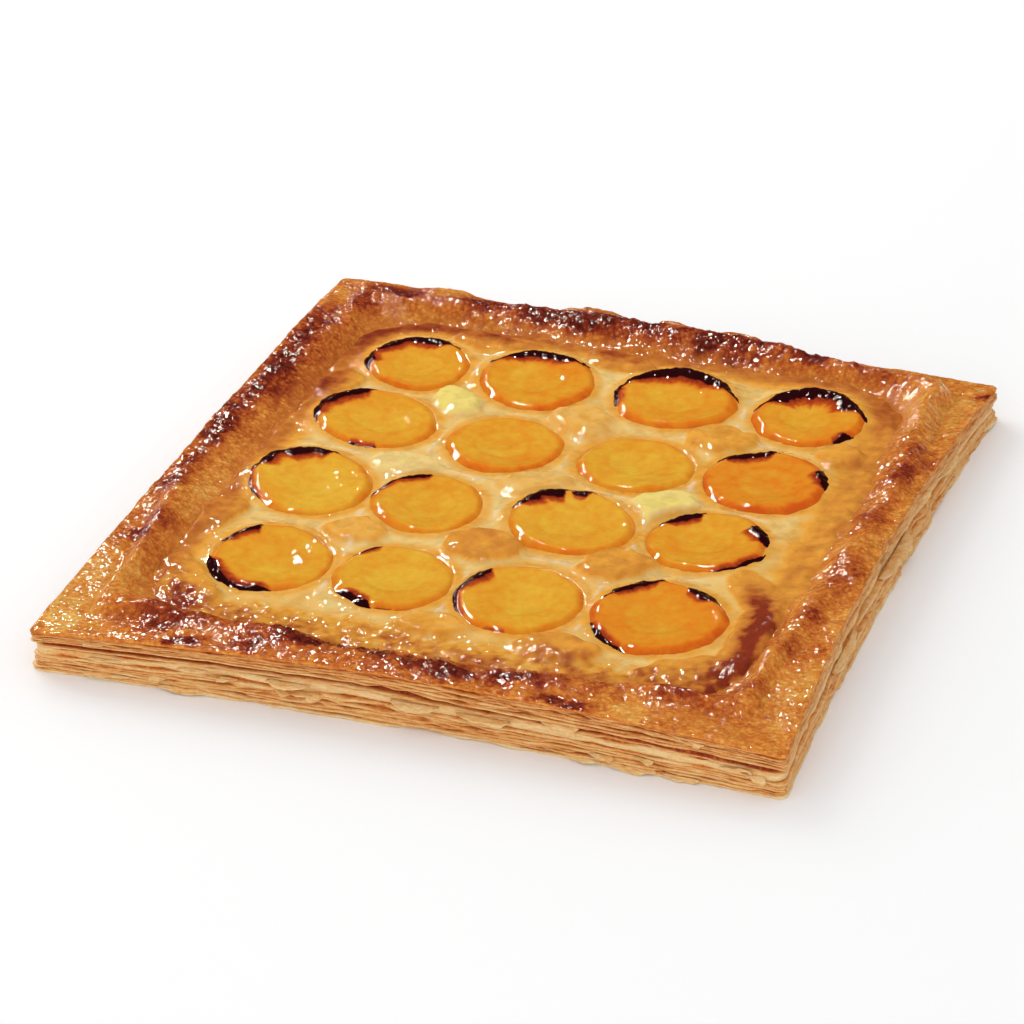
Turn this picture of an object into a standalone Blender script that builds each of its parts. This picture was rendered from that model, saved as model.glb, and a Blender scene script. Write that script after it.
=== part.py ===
"""Square puff-pastry apricot tart: a risen pastry case, its cream filling and sixteen apricot halves.

Metres, +Z up. The origin is the middle of the flat underside, +X runs along the front side and +Y to the back.
Each separate piece of food is one object, and the cutters that shape the filling are hidden helpers.
"""

import math

import bmesh
import bpy
from mathutils import Euler, Matrix, Vector, noise

MM = 0.001

# --- driving dimensions -------------------------------------------------------------------------
# Plan corners of the pastry sheet, counter-clockwise from the front left, with the top edge's height.
CORNERS = (
    (-122.5 * MM, -129.5 * MM, 14.0 * MM),
    (123.0 * MM, -127.0 * MM, 15.0 * MM),
    (122.5 * MM, 125.5 * MM, 12.5 * MM),
    (-122.5 * MM, 128.5 * MM, 17.0 * MM),
)
CORNER_RADIUS = 3.0 * MM
# Each side in turn: front, right, back, left.
SIDE_RISE = (4.0 * MM, 4.0 * MM, 0.5 * MM, 2.0 * MM)  # how much higher its middle stands than its ends
SIDE_BOW = (2.5 * MM, 5.0 * MM, 0.0 * MM, -0.5 * MM)  # how far its middle is drawn in
BASE_PROUD = (0.0 * MM, 2.0 * MM, 0.0 * MM, 0.0 * MM)  # how far the bottom sheet stands out at its middle
RIM_WIDTHS = (31.0 * MM, 30.0 * MM, 21.0 * MM, 25.0 * MM)  # from its edge to the foot of the recess
RECESS_RADIUS = 26.0 * MM
FLOOR = 3.5 * MM  # thickness of the pastry under the fruit
FILLING_EDGE = 12.5 * MM  # height at which the filling meets the rim
FILLING_PROUD = 0.5 * MM  # how much higher the filling stands there, on average
CREST = 19.2 * MM  # height of the rim's rounded crest at the corners
CREST_RISE = (-0.7 * MM, 0.3 * MM, 0.8 * MM, -0.8 * MM)  # how much higher it stands at each side's middle
CREST_BUMPS = 1.3 * MM

SIDE_STEPS = 22  # divisions of one straight side
CORNER_STEPS = 4  # divisions of one rounded corner
GAP = 0.35 * MM  # clearance between neighbouring solids

# Relief of the flaky outer wall: (share of the wall's height, distance inwards). The deep line at
# 0.61 is the joint between the bottom sheet and the border strip laid on it.
WALL_RELIEF = (
    (0.00, 0.9 * MM),
    (0.05, 0.1 * MM),
    (0.13, 1.1 * MM),
    (0.20, 0.3 * MM),
    (0.29, 1.2 * MM),
    (0.38, 0.5 * MM),
    (0.50, 1.1 * MM),
    (0.56, 1.9 * MM),
    (0.61, 3.4 * MM),
    (0.65, 0.7 * MM),
    (0.70, 0.0 * MM),
    (0.77, 1.0 * MM),
    (0.84, 0.1 * MM),
    (0.91, 0.9 * MM),
    (0.96, 0.0 * MM),
)
BASE_TOP = 0.60  # share of the wall's height up to which it is the bottom sheet
# Across a rim of full width, distances run from the foot of the recess outwards. A narrower rim has
# the same section drawn together, and a corner has a flat stretch outside it.
FULL_WIDTH = 30.0 * MM
CREST_FROM_FOOT = 21.0 * MM
FILLING_FROM_FOOT = 2.8 * MM
INNER_RINGS = (21.0 * MM, 16.0 * MM, 11.0 * MM, 6.5 * MM)
OUTER_RINGS = (0.7 * MM, 3.4 * MM)  # from the outer edge inwards

# --- the fruit -----------------------------------------------------------------------------------
FRUIT_SEGMENTS = 18
FRUIT_DEPTH = 8.2 * MM  # from the cut face down to the underside of a half
# Section of a half: (share of its radius, share of its depth below the face), underside to middle.
FRUIT_SECTION = (
    (0.52, 0.96),
    (0.84, 0.72),
    (1.00, 0.34),
    (0.92, 0.07),
    (0.78, 0.00),
    (0.50, 0.05),
    (0.24, 0.10),
)
FRUIT_HOLLOW = 0.12  # depth of the stone's hollow at its middle, as a share of the half's depth
FRUIT_WAVE = 0.035  # unevenness of a half's outline
# Each half: middle x, y, half width, half length, turn, face height, lean about X, lean about Y, and
# how far its stem tip stands out. Rows run from the front to the back, left to right; mm and degrees.
FRUIT = (
    (-67.8, -63.6, 21.0, 21.2, 10, 14.6, 2, 3, 0.02),
    (-26.2, -62.3, 20.2, 21.2, 205, 14.2, -1, 2, 0.04),
    (16.3, -63.3, 21.6, 21.8, 0, 14.4, 1, 1, 0.00),
    (61.2, -61.2, 22.6, 21.6, 5, 15.0, 2, 1, 0.01),
    (-75.6, -13.4, 22.9, 20.6, -35, 15.0, 3, 3, 0.02),
    (-33.4, -14.8, 19.4, 20.0, 20, 14.3, 1, 3, 0.02),
    (15.5, -12.4, 22.6, 20.2, -15, 14.8, 2, 2, 0.00),
    (60.2, -11.0, 21.4, 19.8, -15, 14.6, 1, -4, 0.03),
    (-71.4, 34.0, 23.0, 19.0, -10, 15.2, 3, 3, 0.02),
    (-23.8, 31.5, 21.0, 19.8, 0, 14.4, 1, 1, 0.02),
    (22.3, 32.0, 21.6, 19.0, -5, 14.0, 0, 0, 0.01),
    (66.6, 32.0, 22.4, 20.4, -20, 15.0, 2, -2, 0.02),
    (-72.3, 76.2, 19.0, 18.0, 0, 15.6, 4, 3, 0.03),
    (-29.0, 76.5, 21.6, 19.6, -10, 15.8, 5, 1, 0.00),
    (20.5, 78.0, 22.2, 19.6, -10, 15.8, 5, -1, 0.03),
    (68.2, 77.8, 19.8, 18.4, -5, 16.2, 6, -1, 0.05),
)
# The filling puffs up between the halves: middle x, y, half length, half width, turn and height above
# the filling; mm and degrees. The first nine stand between four halves each, the rest by the rim.
MOUNDS = (
    (-49.0, -38.0, 9.0, 6.0, 20, 2.4),
    (-7.0, -36.5, 9.5, 6.5, 0, 3.6),
    (38.5, -34.5, 9.0, 6.0, 10, 3.4),
    (-51.0, 9.0, 9.5, 5.5, 10, 2.0),
    (-4.5, 8.5, 9.0, 6.0, 20, 2.4),
    (39.5, 8.0, 8.0, 6.5, 40, 2.4),
    (-50.0, 55.0, 8.0, 5.5, -50, 2.6),
    (-4.0, 54.5, 9.0, 6.5, -40, 2.8),
    (44.0, 56.5, 8.5, 6.5, 0, 3.0),
    (-94.0, 54.0, 9.0, 5.0, 75, 2.4),
    (-95.5, -41.0, 9.0, 4.5, 80, 2.6),
    (-88.0, -82.5, 12.0, 5.0, -45, 2.2),
    (-51.0, 98.5, 14.0, 4.5, -5, 3.2),
    (-5.5, 98.0, 11.0, 4.5, -10, 3.2),
    (85.5, 56.0, 7.0, 5.0, 70, 2.8),
    (86.0, -35.0, 12.0, 5.0, -60, 3.4),
    (90.0, -62.0, 14.0, 5.0, 85, 4.2),
    (82.0, -84.0, 10.0, 5.0, 35, 2.8),
    (-5.0, -86.0, 9.0, 4.5, 0, 2.4),
    (38.0, -87.0, 10.0, 5.0, 0, 2.8),
)
GRID_STEP = 6.5 * MM  # spacing of the filling's surface points


def smooth(value):
    """Smooth step from 0 to 1."""
    value = min(1.0, max(0.0, value))
    return value * value * (3.0 - 2.0 * value)


def wave(x, y, size, seed):
    """Fixed smooth unevenness, about -1 to 1, with bumps of the given size."""
    return 1.6 * noise.noise(Vector((x / size, y / size, seed)))


# --- outlines ------------------------------------------------------------------------------------
def by_side(values, around):
    """A value given for each side, which fades out towards the corners."""
    return values[int(around) % 4] * math.sin(math.pi * (around % 1.0)) ** 0.8


def outward(points, i):
    """Unit vector out of a counter-clockwise outline at point i."""
    before = points[i - 1]
    after = points[(i + 1) % len(points)]
    return Vector((after[1] - before[1], before[0] - after[0])).normalized()


def moved_inwards(points, distances):
    """The outline with each point moved inwards by its own distance."""
    made = []
    for i, (x, y, around) in enumerate(points):
        out = outward(points, i)
        made.append((x - out.x * distances[i], y - out.y * distances[i], around))
    return made


def rounded_outline(corners, radius):
    """Points (x, y, around) of a four-sided outline; around counts sides, from 0 to 4."""
    points = []
    for side in range(4):
        start = Vector(corners[side][:2])
        end = Vector(corners[(side + 1) % 4][:2])
        after = Vector(corners[(side + 2) % 4][:2])
        along = (end - start).normalized()
        turned = (after - end).normalized()
        share = radius / (end - start).length
        first = start + along * radius
        last = end - along * radius
        for i in range(SIDE_STEPS):
            t = i / SIDE_STEPS
            place = first.lerp(last, t)
            points.append((place.x, place.y, side + share + t * (1.0 - 2.0 * share)))
        for i in range(CORNER_STEPS):
            t = i / CORNER_STEPS
            place = last.lerp(end, t).lerp(end.lerp(end + turned * radius, t), t)
            points.append((place.x, place.y, side + 1.0 - share + 2.0 * share * t))
    return points


def inner_corners():
    """Corners of the recess: the crossing points of the sides moved inwards by the rim widths."""
    lines = []
    for side in range(4):
        start = Vector(CORNERS[side][:2])
        end = Vector(CORNERS[(side + 1) % 4][:2])
        along = (end - start).normalized()
        inwards = Vector((-along.y, along.x))
        lines.append((start + inwards * RIM_WIDTHS[side], along))
    crossings = []
    for side in range(4):
        base, along = lines[side - 1]
        other, across = lines[side]
        reach = (other - base).cross(across) / along.cross(across)
        crossings.append(base + along * reach)
    return crossings


def edge_height(around):
    """Height of the pastry's top edge, rising between the corners."""
    side = int(around) % 4
    low = CORNERS[side][2]
    high = CORNERS[(side + 1) % 4][2]
    return low + (high - low) * smooth(around % 1.0) + by_side(SIDE_RISE, around)


# --- meshes --------------------------------------------------------------------------------------
def closed_shell(name, rings, bottom_tip=None, top_tip=None):
    """Mesh through rings of equal length, lowest first, closed by a flat face or a fan at each end."""
    mesh = bmesh.new()
    rows = [[mesh.verts.new(point) for point in ring] for ring in rings]
    count = len(rings[0])
    for lower, upper in zip(rows, rows[1:]):
        for i in range(count):
            j = (i + 1) % count
            mesh.faces.new((lower[i], lower[j], upper[j], upper[i]))
    if bottom_tip is None:
        mesh.faces.new(list(reversed(rows[0])))
    else:
        tip = mesh.verts.new(bottom_tip)
        for i in range(count):
            mesh.faces.new((tip, rows[0][(i + 1) % count], rows[0][i]))
    if top_tip is None:
        mesh.faces.new(rows[-1])
    else:
        tip = mesh.verts.new(top_tip)
        for i in range(count):
            mesh.faces.new((tip, rows[-1][i], rows[-1][(i + 1) % count]))
    made = bpy.data.meshes.new(name)
    mesh.to_mesh(made)
    mesh.free()
    made.shade_smooth()
    return made


def add_object(name, mesh, material=None):
    made = bpy.data.objects.new(name, mesh)
    bpy.context.scene.collection.objects.link(made)
    if material is not None:
        made.data.materials.append(material)
    return made


def as_helper(made):
    """A cutter is kept out of the object itself."""
    made.hide_render = True
    made.display_type = "WIRE"
    return made


def food_material(name, color, roughness):
    made = bpy.data.materials.new(name)
    made.use_nodes = True
    shader = made.node_tree.nodes["Principled BSDF"]
    shader.inputs["Base Color"].default_value = (*color, 1.0)
    shader.inputs["Roughness"].default_value = roughness
    shader.inputs["Metallic"].default_value = 0.0
    return made


# --- pastry --------------------------------------------------------------------------------------
def rim_ring(outer_line, inner_line, distances):
    """A ring of the rim's surface, at a distance from the foot of the recess for each point."""
    ring = []
    for outer, inner, distance in zip(outer_line, inner_line, distances):
        width = math.hypot(outer[0] - inner[0], outer[1] - inner[1])
        share = distance / width
        x = inner[0] + (outer[0] - inner[0]) * share
        y = inner[1] + (outer[1] - inner[1]) * share
        place = distance / rim_scale(width)
        low = edge_height(outer[2])
        gain = smooth((FULL_WIDTH - place) / (FULL_WIDTH - CREST_FROM_FOOT))
        if place < CREST_FROM_FOOT:
            low = FILLING_EDGE
            slope = (place - FILLING_FROM_FOOT) / (CREST_FROM_FOOT - FILLING_FROM_FOOT)
            gain = smooth(slope)
        bumps = CREST_BUMPS * wave(x, y, 17.0 * MM, 3.0) * min(1.0, gain + 0.2)
        crest = CREST + by_side(CREST_RISE, outer[2])
        ring.append(Vector((x, y, low + (crest - low) * gain + bumps)))
    return ring


def rim_scale(width):
    """How far the rim's section is drawn together where the rim is narrow."""
    return min(1.0, width / FULL_WIDTH)


def foot_ring(outer_line, inner_line, from_foot, height, inset=0.0):
    """A level ring of the recess's slope, moved inwards by inset."""
    ring = []
    for i, (outer, inner) in enumerate(zip(outer_line, inner_line)):
        width = math.hypot(outer[0] - inner[0], outer[1] - inner[1])
        share = from_foot * rim_scale(width) / width
        x = inner[0] + (outer[0] - inner[0]) * share
        y = inner[1] + (outer[1] - inner[1]) * share
        out = outward(inner_line, i)
        ring.append(Vector((x - out.x * inset, y - out.y * inset, height)))
    return ring


def wall_ring(outer_line, share, inset):
    """A ring of the flaky wall, which stands in and out unevenly."""
    ring = []
    for i, (x, y, around) in enumerate(outer_line):
        out = outward(outer_line, i)
        ragged = 0.5 * MM * wave(x, y + share * 50.0 * MM, 9.0 * MM, 7.0)
        depth = inset * (1.0 + 0.35 * wave(x, y, 23.0 * MM, 11.0 + 5.0 * share)) + ragged
        if share < BASE_TOP:
            depth -= by_side(BASE_PROUD, around)
        height = edge_height(around) * share
        if share > 0.0:
            height += 0.35 * MM * wave(x, y, 14.0 * MM, 2.0 + 9.0 * share)
        ring.append(Vector((x - out.x * depth, y - out.y * depth, height)))
    return ring


def make_pastry(outer_line, inner_line, material):
    widths = [math.hypot(o[0] - i[0], o[1] - i[1]) for o, i in zip(outer_line, inner_line)]
    scales = [rim_scale(width) for width in widths]
    edge, shoulder = ([w - distance * s for w, s in zip(widths, scales)] for distance in OUTER_RINGS)
    inner = [[distance * s for s in scales] for distance in INNER_RINGS]
    between = [0.5 * (a + b) for a, b in zip(shoulder, inner[0])]
    across = [edge, shoulder, between, *inner]
    rings = [wall_ring(outer_line, share, inset) for share, inset in WALL_RELIEF]
    rings += [rim_ring(outer_line, inner_line, distances) for distances in across]
    rings.append(foot_ring(outer_line, inner_line, FILLING_FROM_FOOT, FILLING_EDGE))
    rings.append(foot_ring(outer_line, inner_line, 0.0, FLOOR))
    return add_object("pastry", closed_shell("pastry", rings), material)


# --- fruit ---------------------------------------------------------------------------------------
def fruit_mesh(name, number, half_width, half_length, tip, grow=0.0):
    """An apricot half with its cut face up and its origin in the middle of that face."""

    def ring(share, drop):
        points = []
        for k in range(FRUIT_SEGMENTS):
            angle = math.tau * k / FRUIT_SEGMENTS
            c = math.cos(angle)
            s = math.sin(angle)
            uneven = 1.0 + FRUIT_WAVE * wave(c, s, 1.1, 5.0 + number) * share
            pointed = 1.0 + tip * math.exp(-(((angle + math.pi) % math.tau - math.pi) / 0.45) ** 2)
            x = (half_width * share * uneven * pointed + grow * share) * c
            y = (half_length * share * uneven * pointed + grow * share) * s
            lift = 0.35 * MM * wave(c, s, 0.9, 20.0 + number) * share
            points.append(Vector((x, y, -FRUIT_DEPTH * drop + lift - grow * drop)))
        return points

    rings = [ring(share, drop) for share, drop in FRUIT_SECTION]
    bottom = (0.0, 0.0, -FRUIT_DEPTH - grow)
    middle = (0.0, 0.0, -FRUIT_DEPTH * FRUIT_HOLLOW)
    return closed_shell(name, rings, bottom, middle)


def fruit_place(row):
    """Where a half lies: its origin and its lean and turn."""
    x, y, _, _, turn, height, lean_x, lean_y, _ = row
    spot = Matrix.Translation((x * MM, y * MM, height * MM))
    lean = Euler((math.radians(lean_x), math.radians(lean_y), 0.0)).to_matrix().to_4x4()
    return spot @ lean @ Matrix.Rotation(math.radians(turn), 4, "Z")


def make_fruit(material, cutters):
    """The sixteen halves, and for each a slightly larger cutter that makes its bed in the filling."""
    for number, row in enumerate(FRUIT, start=1):
        half_width, half_length, tip = row[2] * MM, row[3] * MM, row[8]
        name = f"apricot_half_{number:02d}"
        half = add_object(name, fruit_mesh(name, number, half_width, half_length, tip), material)
        half.matrix_world = fruit_place(row)
        bed_mesh = fruit_mesh("bed", number, half_width, half_length, tip, GAP)
        bed = as_helper(bpy.data.objects.new(f"bed_{number:02d}", bed_mesh))
        bed.matrix_world = fruit_place(row)
        cutters.objects.link(bed)


# --- filling -------------------------------------------------------------------------------------
def filling_height(x, y):
    """Surface of the filling: nearly level, with mounds between the halves."""
    height = FILLING_EDGE + FILLING_PROUD + 0.3 * MM * wave(x, y, 30.0 * MM, 1.0)
    rise = 0.0
    for mound_x, mound_y, length, width, turn, top in MOUNDS:
        angle = math.radians(turn)
        dx = x / MM - mound_x
        dy = y / MM - mound_y
        along = (dx * math.cos(angle) + dy * math.sin(angle)) / length
        across = (dy * math.cos(angle) - dx * math.sin(angle)) / width
        far = along * along + across * across
        rise = max(rise, top * MM * math.exp(-0.5 * far * far - 0.35 * far))
    return height + rise


def filling_block():
    """A block larger than the recess, with the filling's uneven surface on top."""
    reach_x = 0.5 * (CORNERS[1][0] - CORNERS[0][0])
    reach_y = 0.5 * (CORNERS[3][1] - CORNERS[0][1])
    columns = int(2.0 * reach_x / GRID_STEP)
    rows = int(2.0 * reach_y / GRID_STEP)
    mesh = bmesh.new()
    bmesh.ops.create_grid(mesh, x_segments=columns, y_segments=rows, size=1.0)
    for vert in mesh.verts:
        vert.co.x *= reach_x
        vert.co.y *= reach_y
        vert.co.z = filling_height(vert.co.x, vert.co.y)
    border = [edge for edge in mesh.edges if edge.is_boundary]
    skirt = bmesh.ops.extrude_edge_only(mesh, edges=border)["geom"]
    for vert in (item for item in skirt if isinstance(item, bmesh.types.BMVert)):
        vert.co.z = -FLOOR
    bmesh.ops.holes_fill(mesh, edges=[edge for edge in mesh.edges if edge.is_boundary])
    bmesh.ops.recalc_face_normals(mesh, faces=mesh.faces)
    made = bpy.data.meshes.new("filling_block")
    mesh.to_mesh(made)
    mesh.free()
    made.shade_smooth()
    return as_helper(add_object("filling_block", made))


def make_filling(outer_line, inner_line, material, cutters):
    """The cream in the recess: the recess's shape, topped by the uneven surface, less the fruit's beds."""
    above = CREST * 2.0
    rings = [
        foot_ring(outer_line, inner_line, 0.0, FLOOR + GAP, GAP),
        foot_ring(outer_line, inner_line, FILLING_FROM_FOOT, FILLING_EDGE, GAP),
        foot_ring(outer_line, inner_line, FILLING_FROM_FOOT, above, GAP),
    ]
    filling = add_object("filling", closed_shell("filling", rings), material)
    top = filling.modifiers.new("uneven_top", "BOOLEAN")
    top.operation = "INTERSECT"
    top.object = filling_block()
    beds = filling.modifiers.new("fruit_beds", "BOOLEAN")
    beds.operation = "DIFFERENCE"
    beds.operand_type = "COLLECTION"
    beds.collection = cutters
    return filling


def main():
    for old in list(bpy.data.objects):
        bpy.data.objects.remove(old)
    square = rounded_outline(CORNERS, CORNER_RADIUS)
    outer_line = moved_inwards(square, [by_side(SIDE_BOW, around) for _, _, around in square])
    inner_line = rounded_outline(inner_corners(), RECESS_RADIUS)
    crust = food_material("crust", (0.62, 0.30, 0.09), 0.35)
    cream = food_material("cream", (0.86, 0.58, 0.24), 0.30)
    flesh = food_material("apricot", (0.90, 0.42, 0.05), 0.25)
    cutters = bpy.data.collections.new("fruit_beds")
    cutters.hide_render = True
    bpy.context.scene.collection.children.link(cutters)
    make_pastry(outer_line, inner_line, crust)
    make_fruit(flesh, cutters)
    make_filling(outer_line, inner_line, cream, cutters)


main()
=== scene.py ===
import math

import bmesh
import bpy
import numpy as np
from mathutils import Euler, Matrix, Vector, noise


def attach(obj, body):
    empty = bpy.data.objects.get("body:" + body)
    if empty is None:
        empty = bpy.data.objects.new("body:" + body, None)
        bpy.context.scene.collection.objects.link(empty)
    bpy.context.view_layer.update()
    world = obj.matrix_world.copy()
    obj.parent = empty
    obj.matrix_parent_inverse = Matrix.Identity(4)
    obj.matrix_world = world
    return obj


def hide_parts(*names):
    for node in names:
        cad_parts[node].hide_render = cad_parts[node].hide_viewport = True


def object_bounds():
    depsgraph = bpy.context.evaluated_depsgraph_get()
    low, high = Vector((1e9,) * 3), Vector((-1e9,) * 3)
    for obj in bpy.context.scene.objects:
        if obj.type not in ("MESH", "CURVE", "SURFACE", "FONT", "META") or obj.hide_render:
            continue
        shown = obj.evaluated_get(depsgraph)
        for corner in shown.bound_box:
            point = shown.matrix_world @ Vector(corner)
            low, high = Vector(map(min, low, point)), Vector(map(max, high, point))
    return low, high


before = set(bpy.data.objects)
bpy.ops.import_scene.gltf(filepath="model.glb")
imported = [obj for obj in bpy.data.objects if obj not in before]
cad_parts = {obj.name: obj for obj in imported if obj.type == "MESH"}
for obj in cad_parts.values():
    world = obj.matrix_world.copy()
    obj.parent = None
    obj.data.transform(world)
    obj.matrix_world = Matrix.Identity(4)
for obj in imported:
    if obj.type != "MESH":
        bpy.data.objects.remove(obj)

cadLow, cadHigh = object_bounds()
mm = 0.001  # sizes are in mm, and become metres as they reach a mesh
boxLow, boxHigh = np.array(cadLow) / mm, np.array(cadHigh) / mm

# The pastry's driving sizes, as its solid has them. Sides run front, right, back, left
tart = {
    "corners": ((-122.5, -129.5, 14), (123, -127, 15), (122.5, 125.5, 12.5), (-122.5, 128.5, 17)),
    "cornerRadius": 3,
    "sideRise": (4, 4, 0.5, 2),
    "sideBow": (2.5, 5, 0, -0.5),
    "baseProud": (0, 2, 0, 0),
    "rimWidths": (31, 30, 21, 25),
    "recessRadius": 26,
    "floor": 3.5,
    "fillingEdge": 12.5,
    "fillingProud": 0.5,
    "crest": 19.2,
    "crestRise": (-0.7, 0.3, 0.8, -0.8),
    "crestBumps": 1.3,
    "bumpSize": 17,
    "fullWidth": 30,
    "crestFoot": 21,
    "creamFoot": 2.8,
    "sideLength": 246,
    "straightSteps": 300,  # points along one side
    "cornerSteps": 50,  # points round one corner
}


latticeSize = 64
lattice = np.random.default_rng(11).uniform(-1, 1, (latticeSize,) * 3)


def lumps(points, size, shift=0, octaves=1):
    # a smooth random field, about -1 to 1; each octave is about twice as fine and half as strong
    place = points / np.asarray(size, float) + shift * 7.31
    total = np.zeros(points.shape[:-1])
    weight = 1
    whole = 0
    for _ in range(octaves):
        cell = np.floor(place).astype(int)
        part = place - cell
        part = part * part * (3 - 2 * part)
        for corner in range(8):
            step = np.array((corner & 1, corner >> 1 & 1, corner >> 2))
            index = (cell + step) % latticeSize
            share = np.where(step, part, 1 - part).prod(-1)
            total += weight * share * lattice[index[..., 0], index[..., 1], index[..., 2]]
        whole += weight
        weight *= 0.55
        place = place * 2.03 + 3.7
    return 1.6 * total / whole


def blisters(x, y, size, shift):
    # round domes scattered over the plan: 0 between them, up to 1 on their tops
    cellX = np.floor(x / size).astype(int)
    cellY = np.floor(y / size).astype(int)
    tallest = np.zeros(x.shape)
    for stepX in (-1, 0, 1):
        for stepY in (-1, 0, 1):
            i = (cellX + stepX) % latticeSize
            j = (cellY + stepY) % latticeSize
            spotX = (cellX + stepX + 0.5 + 0.45 * lattice[i, j, shift]) * size
            spotY = (cellY + stepY + 0.5 + 0.45 * lattice[i, j, shift + 1]) * size
            radius = size * (0.45 + 0.22 * lattice[i, j, shift + 2])
            tall = 0.6 + 0.4 * lattice[i, j, shift + 3]
            far = ((x - spotX) ** 2 + (y - spotY) ** 2) / radius**2
            tallest = np.maximum(tallest, tall * np.sqrt(np.clip(1 - far, 0, None)))
    return tallest


def solidWave(x, y, size, seed):
    # the unevenness that the solids have
    pairs = zip(x.ravel() / size, y.ravel() / size)
    return np.array([1.6 * noise.noise((a, b, seed)) for a, b in pairs]).reshape(x.shape)


def smooth(value):
    value = np.clip(value, 0, 1)
    return value * value * (3 - 2 * value)


def between(low, high, value):
    # 0 at low, 1 at high, smooth between
    return smooth((value - low) / (high - low))


def flatPoints(x, y):
    return np.stack((x, y, np.zeros_like(x)), -1)


def inOval(x, y, ovalX, ovalY, length, width, turn):
    # places along and across a turned oval, each 1 at its border
    dx, dy = x - ovalX, y - ovalY
    angle = math.radians(turn)
    along = (dx * math.cos(angle) + dy * math.sin(angle)) / length
    across = (dy * math.cos(angle) - dx * math.sin(angle)) / width
    return along, across


def spotField(flat, spots, wander, size):
    # soft oval spots, whose outlines wander: x, y, half length, half width, turn in degrees, strength
    x = flat[..., 0] + wander * lumps(flat, size, 5, 2)
    y = flat[..., 1] + wander * lumps(flat, size, 6, 2)
    total = np.zeros(x.shape)
    for *oval, strength in spots:
        along, across = inOval(x, y, *oval)
        total += strength * np.exp(-0.7 * (along**2 + across**2) ** 1.5)
    return total


def bySide(values, around):
    side = np.floor(around).astype(int) % 4
    return np.asarray(values)[side] * np.sin(np.pi * (around % 1)) ** 0.8


def edgeHeight(around):
    heights = np.array([corner[2] for corner in tart["corners"]])
    side = np.floor(around).astype(int) % 4
    low = heights[side]
    high = heights[(side + 1) % 4]
    return low + (high - low) * smooth(around % 1) + bySide(tart["sideRise"], around)


def roundedLine(corners, radius):
    # x, y and the place round the tart: 0 to 4, a whole number at each corner
    rows = []
    for side in range(4):
        start, end, after = (np.array(corners[(side + k) % 4][:2], float) for k in range(3))
        length = np.linalg.norm(end - start)
        along = (end - start) / length
        turned = (after - end) / np.linalg.norm(after - end)
        share = radius / length
        first = start + along * radius
        last = end - along * radius
        t = np.arange(tart["straightSteps"])[:, None] / tart["straightSteps"]
        rows.append(np.hstack((first + (last - first) * t, side + share + t * (1 - 2 * share))))
        t = np.arange(tart["cornerSteps"])[:, None] / tart["cornerSteps"]
        bend = (1 - t) ** 2 * last + 2 * t * (1 - t) * end + t * t * (end + turned * radius)
        rows.append(np.hstack((bend, side + 1 - share + 2 * share * t)))
    return np.vstack(rows)


def outward(line):
    step = np.roll(line, -1, axis=0) - np.roll(line, 1, axis=0)
    length = np.hypot(step[:, 0], step[:, 1])
    return np.column_stack((step[:, 1] / length, -step[:, 0] / length))


def innerCorners():
    lines = []
    for side in range(4):
        start, end = (np.array(tart["corners"][(side + k) % 4][:2]) for k in range(2))
        along = (end - start) / np.linalg.norm(end - start)
        lines.append((start + np.array((-along[1], along[0])) * tart["rimWidths"][side], along))
    crossings = []
    for side in range(4):
        (base, along), (other, across) = lines[side - 1], lines[side]
        gap = other - base
        reach = (gap[0] * across[1] - gap[1] * across[0]) / (along[0] * across[1] - along[1] * across[0])
        crossings.append(base + along * reach)
    return crossings


outerLine = roundedLine(tart["corners"], tart["cornerRadius"])
around = outerLine[:, 2] % 4
outerLine = outerLine[:, :2] - outward(outerLine) * bySide(tart["sideBow"], around)[:, None]
innerLine = roundedLine(innerCorners(), tart["recessRadius"])[:, :2]
rimWidth = np.linalg.norm(innerLine - outerLine, axis=1)
rimScale = np.minimum(1, rimWidth / tart["fullWidth"])
inwards = (innerLine - outerLine) / rimWidth[:, None]
columns = len(around)


def innerSlope(place):
    # 0 at the cream's level, 1 on the crest
    return smooth((place - tart["creamFoot"]) / (tart["crestFoot"] - tart["creamFoot"]))


def crestHeight(around):
    return tart["crest"] + bySide(tart["crestRise"], around)


def rimBumps(x, y, gain):
    return tart["crestBumps"] * solidWave(x, y, tart["bumpSize"], 3) * np.minimum(1, gain + 0.2)


def rimHeight(x, y, distance):
    # the rim's surface at a distance outwards from the recess's foot, and the place across the rim,
    # counted as if it were full wide everywhere
    place = distance / rimScale
    inside = place < tart["crestFoot"]
    outerSlope = smooth((tart["fullWidth"] - place) / (tart["fullWidth"] - tart["crestFoot"]))
    gain = np.where(inside, innerSlope(place), outerSlope)
    low = np.where(inside, tart["fillingEdge"], edgeHeight(around))
    bumps = rimBumps(x, y, gain)
    height = low + (crestHeight(around) - low) * gain + bumps
    wall = tart["floor"] + (tart["fillingEdge"] - tart["floor"]) * place / tart["creamFoot"]
    return np.where(place < tart["creamFoot"], wall + bumps, height), place


def finishPiece(piece, name, points, node, material, attributes):
    # sets the vertices (mm), just inside the solid's box, and hides the solid part that the piece stands for
    piece.name = name
    piece.data.name = name
    setPoints(piece, np.clip(points, boxLow + 0.01, boxHigh - 0.01) * mm)
    piece.data.update()
    for key, values in attributes.items():
        made = piece.data.attributes.new(key, "FLOAT", "POINT")
        made.data.foreach_set("value", np.ascontiguousarray(values, dtype=np.float32).ravel())
    bpy.ops.object.mode_set(mode="EDIT")
    bpy.ops.mesh.select_all(action="SELECT")
    bpy.ops.mesh.normals_make_consistent(inside=False)
    bpy.ops.object.mode_set(mode="OBJECT")
    piece.data.shade_smooth()
    piece.data.materials.append(material)
    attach(piece, "root")
    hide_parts(node)


def startPiece(operator, **settings):
    bpy.ops.object.select_all(action="DESELECT")
    operator(**settings)
    return bpy.context.object


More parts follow.
